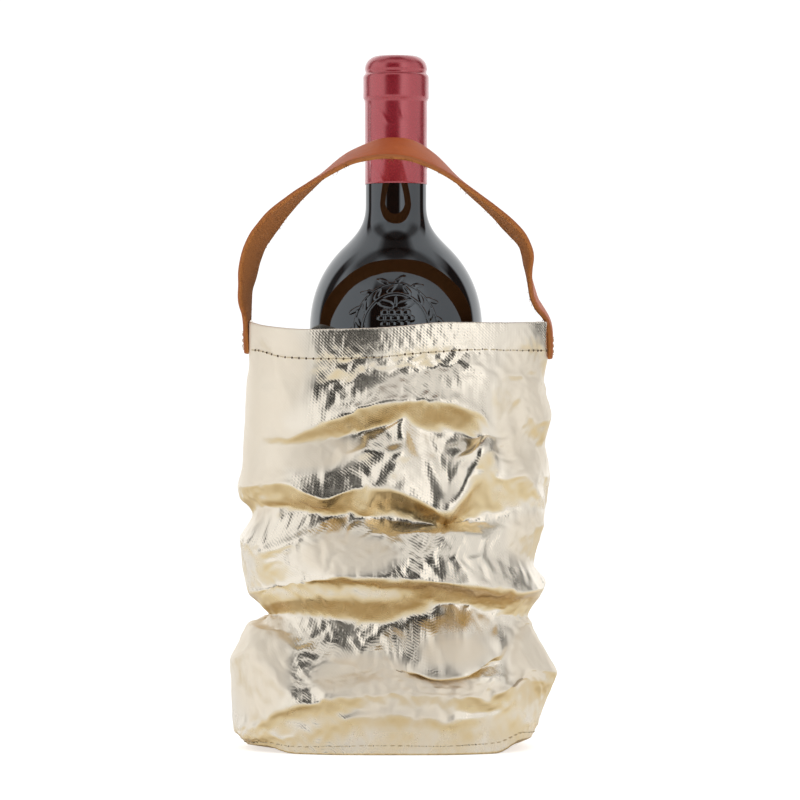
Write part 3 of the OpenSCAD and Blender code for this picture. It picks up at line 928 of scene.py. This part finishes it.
# The strap's middle line from its left end to its right end, in millimetres: x, y, z, and how far across
# the strap's front edge leans in towards the bottle (or, below 0, out), of its whole width.
STRAP_MM = [
    (-66.9, -6, 176.6, 0), (-66.9, -6, 183.4, -0.4), (-66.8, -6, 190, -0.8), (-67.0, -7.2, 197.5, -2.5),
    (-67.0, -10, 203, -4), (-66.1, -14.3, 209.4, -5), (-64.9, -18.5, 216.2, -6.4), (-62.8, -22.7, 222.9, -7),
    (-59.8, -26.3, 228.8, -7.2), (-56.6, -29, 233.3, -6.5), (-52.9, -31.9, 237.8, -5.4),
    (-48.4, -34.6, 242.2, -3.8), (-42.8, -37.5, 246.9, -1.9), (-36.8, -40.2, 251.2, 0),
    (-32.2, -42.3, 254.5, 1), (-27.1, -44.7, 258.2, 3), (-20.2, -47, 262.2, 5), (-12.6, -48.7, 264.9, 7),
    (-5.9, -49.4, 266.3, 8.6), (1.5, -49.5, 266.2, 9.3), (7, -48.9, 265.1, 9.1), (12, -47.6, 263.2, 7.8),
    (17.5, -45.9, 260.3, 5.6), (22.4, -43.8, 256.9, 3.5), (26.4, -41.7, 253.6, 1.8),
    (30.4, -39.6, 250.2, 0.4), (35.7, -37, 246.0, -0.7), (41.3, -34.2, 241.5, -1.8),
    (48, -30.6, 235.7, -3), (52.7, -27.5, 230.6, -4), (55.5, -24.9, 226.2, -4),
    (57.2, -22.3, 222.2, -3), (58.1, -19.3, 217.5, -1), (58.9, -16.4, 212.6, 0.4),
    (60.5, -12, 205.6, 2.4), (63, -8.6, 199.6, 2.8), (66, -6.6, 195.3, 2.4), (68.2, -6, 191.5, 1.8),
    (69.1, -6, 187, 1.0), (69.1, -6, 181, 0.4), (68.9, -6, 174.2, 0),
]
STRAP_WIDE_MM = 21.6
STRAP_THICK_MM = 2.3
STRAP_STATIONS = 190


def strap_frames():
    """Middle line of the strap, and the ways across it to its front edge, out of it and along it, at
    each station."""
    keys = smooth_curve(STRAP_MM, STRAP_STATIONS)
    middle, lean = keys[:, :3], keys[:, 3] / STRAP_WIDE_MM
    tangent = unit(np.gradient(middle, axis=0))
    forward = np.array([0, -1.0, 0])
    forward = unit(forward - (forward * tangent).sum(1, keepdims=True) * tangent)
    inward = np.cross(tangent, forward)
    cos = np.sqrt(1 - lean**2)[:, None]
    wide = inward * lean[:, None] + forward * cos
    out = forward * lean[:, None] - inward * cos
    return middle, wide, out, tangent


def build_strap(materials):
    """The strap from end to end, as one cross-section swept along its middle line."""
    middle, wide, out, _ = strap_frames()
    w, t = STRAP_WIDE_MM / 2, STRAP_THICK_MM / 2
    # the cross-section, once round: along the width, and out of the outer face
    outer = [(-w + 0.5, t), (-8, t + 0.1), (-4, t + 0.14), (0, t + 0.15), (4, t + 0.14), (8, t + 0.1),
             (w - 0.5, t)]
    cut = [(w, t - 0.45), (w + 0.05, 0), (w - 0.1, -t + 0.3)]
    inner = [(w - 0.6, -t), (8, -t), (4, -t), (0, -t), (-4, -t), (-8, -t), (-w + 0.6, -t)]
    back_cut = [(-w + 0.1, -t + 0.3), (-w - 0.05, 0), (-w, t - 0.45)]
    section = np.array(outer + cut + inner + back_cut)
    kinds = [0] * 6 + [2] * 4 + [1] * 6 + [2] * 4      # material of each side of the section
    count = len(section)
    along = lengths_along(middle)
    points = middle[:, None] + wide[:, None] * section[None, :, :1] + out[:, None] * section[None, :, 1:]
    # the leather is a little uneven: its edges wander and its faces ripple
    s = np.repeat(along, count)
    a = np.tile(section[:, 0], len(middle))
    edge_wander = 0.35 * lattice_noise(np.stack([s / 9, np.sign(a) * 3, 0 * s], 1), 5)
    ripple = 0.22 * lattice_noise(np.stack([s / 12, a / 9, 0 * s], 1), 6)
    points = points.reshape(-1, 3)
    points += np.repeat(wide, count, 0) * (edge_wander * np.abs(a) / w)[:, None]
    points += np.repeat(out, count, 0) * ripple[:, None]
    faces = list(grid_faces(len(middle), count)[:, ::-1])
    faces += [range(count)[::-1], range(len(points) - count, len(points))]
    which = kinds * (len(middle) - 1) + [2, 2]
    strap = new_object("leather_strap", points, faces, materials, which)
    set_vector(strap, "strap_mm", np.stack([s, a, np.tile(section[:, 1] * 3, len(middle))], axis=1))
    subdivide(strap)
    return strap


FIBRES = 520
THIRDS = (0, 2.094, 4.189)     # of a turn, in radians


def build_strap_fibres(materials):
    """Loose fibres along the cut edges, mostly on the suede side."""
    middle, wide, out, tangent = strap_frames()
    rng = np.random.default_rng(21)
    points, faces = [], []
    for _ in range(FIBRES):
        k = rng.integers(8, len(middle) - 8)
        side = 1 if rng.random() < 0.7 else -1
        root = middle[k] + side * wide[k] * (STRAP_WIDE_MM / 2 - 0.25) + out[k] * rng.uniform(-1.1, 0.3)
        root = root + tangent[k] * rng.uniform(-0.5, 0.5)
        length = rng.uniform(0.6, 1.3) if rng.random() < 0.9 else rng.uniform(1.4, 2.4)
        way = unit(side * wide[k] * rng.uniform(0.2, 1.0) - out[k] * rng.uniform(0.1, 1.1)
                   + tangent[k] * rng.uniform(-0.9, 0.9))
        bend = tangent[k] * rng.uniform(-0.4, 0.4) * length
        across = unit(np.cross(way, tangent[k]))
        other = np.cross(way, across)
        first = len(points)
        for share, thick in ((0.0, 0.13), (0.55, 0.09)):
            centre = root + way * length * share + bend * share**2
            for a in THIRDS:
                points.append(centre + (across * math.cos(a) + other * math.sin(a)) * thick)
        points.append(root + way * length + bend)
        a, b, c, d, e, f, tip = range(first, first + 7)
        faces += [(c, b, a), (a, b, e, d), (b, c, f, e), (c, a, d, f)]
        faces += [(d, e, tip), (e, f, tip), (f, d, tip)]
    fibres = new_object("leather_fibres", points, faces, materials)
    set_vector(fibres, "strap_mm", points)
    return fibres


def build_strap_stitches(name, last_end, materials):
    """The box of stitches that holds the strap's first end or its last_end."""
    middle, wide, out, _ = strap_frames()
    along = lengths_along(middle)
    if last_end:
        along = along[-1] - along[::-1]
        middle, wide, out = middle[::-1], wide[::-1], out[::-1]
    # the box, along the strap from low to high and across it from -half to half
    low, high, half = 2.2, 9.8, 8.4
    box = [(d, a, True) for a in np.arange(-half + 1.4, half, 2.8) for d in (low, high)]
    box += [(d, a, False) for d in np.arange(low + 1.3, high, 2.5) for a in (-half, half)]

    def at(table, d):
        return np.array([np.interp(d, along, table[:, k]) for k in range(3)])

    places, normals, ways = [], [], []
    for d, a, sideways in box:
        up, across = unit(at(out, d)), unit(at(wide, d))
        places.append(at(middle, d) + across * a + up * (STRAP_THICK_MM / 2 + 0.12))
        normals.append(up)
        ways.append(across if sideways else unit(np.cross(up, across)))
    return stitch_row(name, places, normals, ways, 2.1, 0.5, 0, materials)


# ---------- the bottle

# Where the bottle stands, and its own measures in millimetres, with heights from its foot
BOTTLE_Y_MM = 3
BOTTLE_Z_MM = 1.5
GLASS_TOP = 309.35
BODY_R = 39.0
NECK_R = 13.7


def cubic(a, b, c, d, count):
    """count points on the Bezier curve from a to d, without a itself."""
    t = np.linspace(0, 1, count + 1)[1:, None]
    a, b, c, d = (np.array(p, float) for p in (a, b, c, d))
    return list(map(tuple, a * (1 - t)**3 + 3 * b * t * (1 - t)**2 + 3 * c * t * t * (1 - t) + d * t**3))


def on_bottle(radius, angle, height):
    """Places round the bottle's axis; angle is 0 at the front."""
    x, y = radius * np.sin(angle), BOTTLE_Y_MM - radius * np.cos(angle)
    return np.stack(np.broadcast_arrays(x, y, height + BOTTLE_Z_MM), axis=-1)


def lathe(name, outline, columns, materials, dent=None):
    """A closed solid of revolution. outline runs from the axis to the axis as (radius, height), and
    dent(angle, height) moves points out or in."""
    rings = np.array(outline[1:-1])
    radius = np.repeat(rings[:, :1], columns, 1)
    height = np.repeat(rings[:, 1:], columns, 1)
    angle = np.tile(np.linspace(0, 2 * np.pi, columns, endpoint=False), (len(rings), 1))
    if dent is not None:
        radius = radius + dent(angle, height)
    ends = on_bottle(0, 0, np.array([outline[0][1], outline[-1][1]]))
    points = np.vstack([on_bottle(radius, angle, height).reshape(-1, 3), ends])
    faces = list(grid_faces(len(rings), columns)[:, ::-1])
    n, last = len(points), (len(rings) - 1) * columns
    for c in range(columns):
        d = (c + 1) % columns
        faces.append((n - 2, d, c))
        faces.append((n - 1, last + c, last + d))
    return new_object(name, points, faces, materials)


def glass_outline():
    """The outside of the bottle, from the middle of the punt in its foot to the middle of its mouth."""
    shoulder, waist, neck, ring = GLASS_TOP - 124, GLASS_TOP - 87.5, GLASS_TOP - 67, GLASS_TOP - 18
    points = [(0, 32), (4, 31.7), (8, 30.8), (12, 29), (16, 23), (19, 16), (22, 9.5), (25, 4.5),
              (27.5, 1.4), (29.5, 0.2), (31.5, 0), (33.5, 0.2)]
    points += [(33 + 6 * math.sin(a), 6 - 6 * math.cos(a)) for a in np.linspace(0.25, math.pi / 2, 6)]
    points += [(BODY_R, z) for z in np.linspace(10, shoulder, 24)]
    points += cubic((BODY_R, shoulder), (BODY_R, shoulder + 17), (0.85 * BODY_R, waist - 8.5),
                    (0.645 * BODY_R, waist), 18)
    points += cubic((0.645 * BODY_R, waist), (0.482 * BODY_R, waist + 6.4), (NECK_R, neck - 10),
                    (NECK_R, neck), 16)
    points += [(NECK_R, z) for z in np.linspace(neck + 4, ring - 1, 10)]
    points += [(14.25, ring + 0.6), (14.25, ring + 8.6), (13.4, ring + 10), (13.4, GLASS_TOP - 4.4)]
    points += [(9.4 + 3.6 * math.cos(a), GLASS_TOP - 4.6 + 3.6 * math.sin(a))
               for a in np.linspace(0.3, 1.5, 5)]
    points += [(9.25, GLASS_TOP - 1.1), (9.25, GLASS_TOP - 1.6), (0, GLASS_TOP - 1.6)]
    return points


WREATH_X_MM = 18.5        # half width and half height of the emblem's wreath
WREATH_Z_MM = 22.5
WREATH_LEAVES = 30


def emblem_relief(x, z):
    """Height of the moulded emblem, a plain wreath round a bunch of grapes, at x across and z up from
    the middle of it, in millimetres."""
    def bump(d, half):
        return np.clip(1 - (d / half)**2, 0, 1)

    def leaf(cx, cz, tilt, long, wide):
        c, s = math.cos(tilt), math.sin(tilt)
        a, b = (x - cx) * c + (z - cz) * s, -(x - cx) * s + (z - cz) * c
        body = bump(np.hypot(a / long, b / wide), 1.0)
        return body * (0.65 + 0.35 * np.clip(np.abs(b) / (0.25 * wide), 0, 1))

    # two oval lines, and the wreath's leaves inside and outside the outer one
    oval = np.hypot(x / WREATH_X_MM, z / WREATH_Z_MM)
    reliefs = [0.5 * bump(np.abs(oval - 0.76) * 19, 0.8), 0.35 * bump(np.abs(oval - 0.97) * 19, 0.5)]
    for k in range(WREATH_LEAVES):
        a = 2 * math.pi * (k + 0.5) / WREATH_LEAVES
        share = 0.87 if k % 2 else 1.06
        cx, cz = WREATH_X_MM * share * math.sin(a), WREATH_Z_MM * share * math.cos(a)
        tilt = math.pi - a - math.copysign(0.6, math.sin(a)) * (1 if k % 2 else -1)
        reliefs.append(0.75 * leaf(cx, cz, tilt, 3.1, 1.25))
    # the grapes, row by row, and their leaves and stalk
    for row, number in enumerate((4, 5, 4, 3, 2, 1)):
        for k in range(number):
            cx, cz = (k - (number - 1) / 2) * 3.1, 8.6 - row * 2.7
            reliefs.append(0.95 * np.sqrt(bump(np.hypot(x - cx, z - cz), 1.75)))
    reliefs += [0.8 * leaf(side * 4.4, 12.6, side * 0.35, 4.2, 2.2) for side in (-1, 1)]
    reliefs.append(0.6 * bump(np.hypot(x / 0.7, (z - 13.5) / 2.6), 1.0))
    return np.max(reliefs, axis=0)


def build_emblem(materials):
    """The moulded emblem as a thin skin that rises out of the glass on the front of the shoulder."""
    outline = np.array([p for p in glass_outline() if p[1] > 20 and p[0] > 16])
    middle_z, half_x, half_z, mean_radius = 184.5, 22.5, 27.0, 36.0
    x, z = np.meshgrid(np.linspace(-half_x, half_x, 150), np.linspace(half_z, -half_z, 176))
    height = z + middle_z
    relief = emblem_relief(x, z)
    # between its lines the skin lies just under the glass
    out = np.where(relief > 0.02, 0.03 + 0.72 * relief, -0.12)
    radius = np.interp(height, outline[:, 1], outline[:, 0]) + out
    points = on_bottle(radius, x / mean_radius, height)
    return new_object("glass_emblem", points, grid_faces(*x.shape, False), materials)


# Creases of the capsule: x round it and height of both ends, then how high and half how wide each is
CAPSULE_CREASES_MM = [
    (-12.5, 262, -5.4, 252, 0.30, 1.4), (-9.5, 286, -3.6, 279, 0.22, 1.2), (2.3, 284, 3.6, 281, 0.18, 1.0),
    (9, 274, 12.6, 268, 0.2, 1.2), (-12, 276, -9, 270, -0.18, 1.0), (4, 262, 7, 253, -0.15, 1.3),
]
CAPSULE_R = 14
CAPSULE_FOOT = 251.7


def capsule_dent(angle, height):
    """Creases and a lapped edge in the foil of the capsule."""
    x = ((angle + np.pi) % (2 * np.pi) - np.pi) * CAPSULE_R
    place = np.stack([x.ravel() / 5, height.ravel() / 8, 0 * x.ravel()], 1)
    total = 0.05 * lattice_noise(place, 9).reshape(x.shape)
    for x0, z0, x1, z1, high, half in CAPSULE_CREASES_MM:
        total += high * np.clip(1 - away_from_line(x, height, x0, z0, x1, z1) / half, 0, 1)
    lapped = np.clip((x + 13.6) / 0.5, 0, 1) * np.clip((-2.5 - x) / 10, 0, 1)
    straight = (height > 254) & (height < 288)
    return np.where(height > CAPSULE_FOOT - 0.2, total + 0.22 * lapped * straight, 0)


def build_capsule(materials):
    """The foil over the neck: a straight sleeve, a bulge over the glass ring and a dished top."""
    low = CAPSULE_FOOT
    outline = [(0, low + 4), (13.72, low + 4), (13.74, low + 0.2), (13.95, low), (14.12, low + 0.15),
               (14.12, low + 0.9)]
    outline += [(14.1, z) for z in np.arange(low + 1.6, 288.6, 0.9)]
    outline += [(14.15, 289.2), (14.45, 289.9), (14.8, 290.5), (14.86, 291.5), (14.82, 294), (14.86, 297),
                (14.86, 299.6), (14.7, 300.6), (14.2, 301.2), (13.8, 301.6), (13.72, 302.2), (13.85, 302.8),
                (14.05, 303.4), (14.05, 304.2), (13.8, 305.4), (13.3, 306.6), (12.4, 307.8), (11.3, 308.7),
                (10.2, 309.25), (9.3, 309.5), (8.9, 309.45), (8.5, 309.2), (8.1, 309.15), (7.6, 309.3),
                (6.9, 309.45), (6.2, 309.4), (5.6, 309.25), (3, 309.2), (0, 309.2)]
    return lathe("neck_capsule", outline, 128, materials, capsule_dent)


# ---------- build

build_camera()
build_world()
build_floor()
bpy.context.scene.view_settings.view_transform = "Standard"

foil = foil_material()
lining = lining_material()
thread = thread_material()
needle_hole = needle_hole_material()
leather = leather_materials()
glass = glass_material()
capsule_red = capsule_material()

bag, sheet = build_bag(foil, lining)
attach(bag, "bag")
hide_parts("bag_wall", "rim_hem")

base = build_base(sheet, foil, lining)
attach(base, "bag")
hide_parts("bag_base")

lap = build_lap(sheet, foil)
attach(lap, "bag")
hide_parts("back_seam_lap")

# the hem's stitches stop at the ends of the strap, whose own stitches go through the hem
sewn = [thread, needle_hole]
hem_down = HEM_MM - 0.6
around = np.arange(0.5, sheet.around / STITCH_PITCH_MM - 0.5) * STITCH_PITCH_MM
places = sheet.at(around, hem_down)[0]
sewn_over = (np.abs(places[:, 1] - STRAP_MM[0][1]) < 12.5) & (np.abs(places[:, 0]) > 55)
hem_thread = stitches_on(sheet, "hem_thread", around[~sewn_over], hem_down, out=0.3, step=ROUND_THE_BAG,
                         thread_mm=0.42, hole_mm=1.15, materials=sewn)
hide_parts("hem_stitching")
base_down = sheet.down[-1] - 3.2
base_thread = stitches_on(sheet, "base_thread", around, base_down, out=0.05, step=ROUND_THE_BAG,
                          thread_mm=0.42, hole_mm=0.5, materials=sewn)
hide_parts("base_stitching")
seam_down = np.arange(HEM_MM + 3, sheet.down[-1] - 7, STITCH_PITCH_MM)
seam_thread = stitches_on(sheet, "back_seam_thread", SEAM_U_MM, seam_down, out=LAP_LIFT_MM,
                          step=DOWN_THE_BAG, thread_mm=0.45, hole_mm=0.7, materials=sewn)
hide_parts("back_seam_stitching")
left_box = build_strap_stitches("strap_thread_left", False, [thread])
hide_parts("strap_stitching_left")
right_box = build_strap_stitches("strap_thread_right", True, [thread])
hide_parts("strap_stitching_right")
for piece in (hem_thread, base_thread, seam_thread, left_box, right_box):
    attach(piece, "bag")

strap = build_strap(leather)
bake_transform(strap)
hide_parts("handle_strap", "strap_end_left", "strap_end_right")

fibres = build_strap_fibres([leather[2]])
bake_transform(fibres)

bottle = lathe("bottle", glass_outline(), 160, [glass])
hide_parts("bottle_glass")
emblem = build_emblem([glass])
cap = build_capsule([capsule_red])
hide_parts("capsule")
for piece, slot in ((bottle, "bottle_glass"), (emblem, "bottle_glass"), (cap, "capsule_foil")):
    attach(piece, "bottle")
wine_red = plain_material("wine_liquid", (0.05, 0.002, 0.008), (0.09, 0.004, 0.014), 20, 0.1)
cork_brown = plain_material("cork_grain", (0.42, 0.27, 0.15), (0.62, 0.44, 0.27), 400, 0.8)
for name, mat in (("wine", wine_red), ("cork", cork_brown)):
    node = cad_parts[name]
    node.data.materials.clear()
    node.data.materials.append(mat)
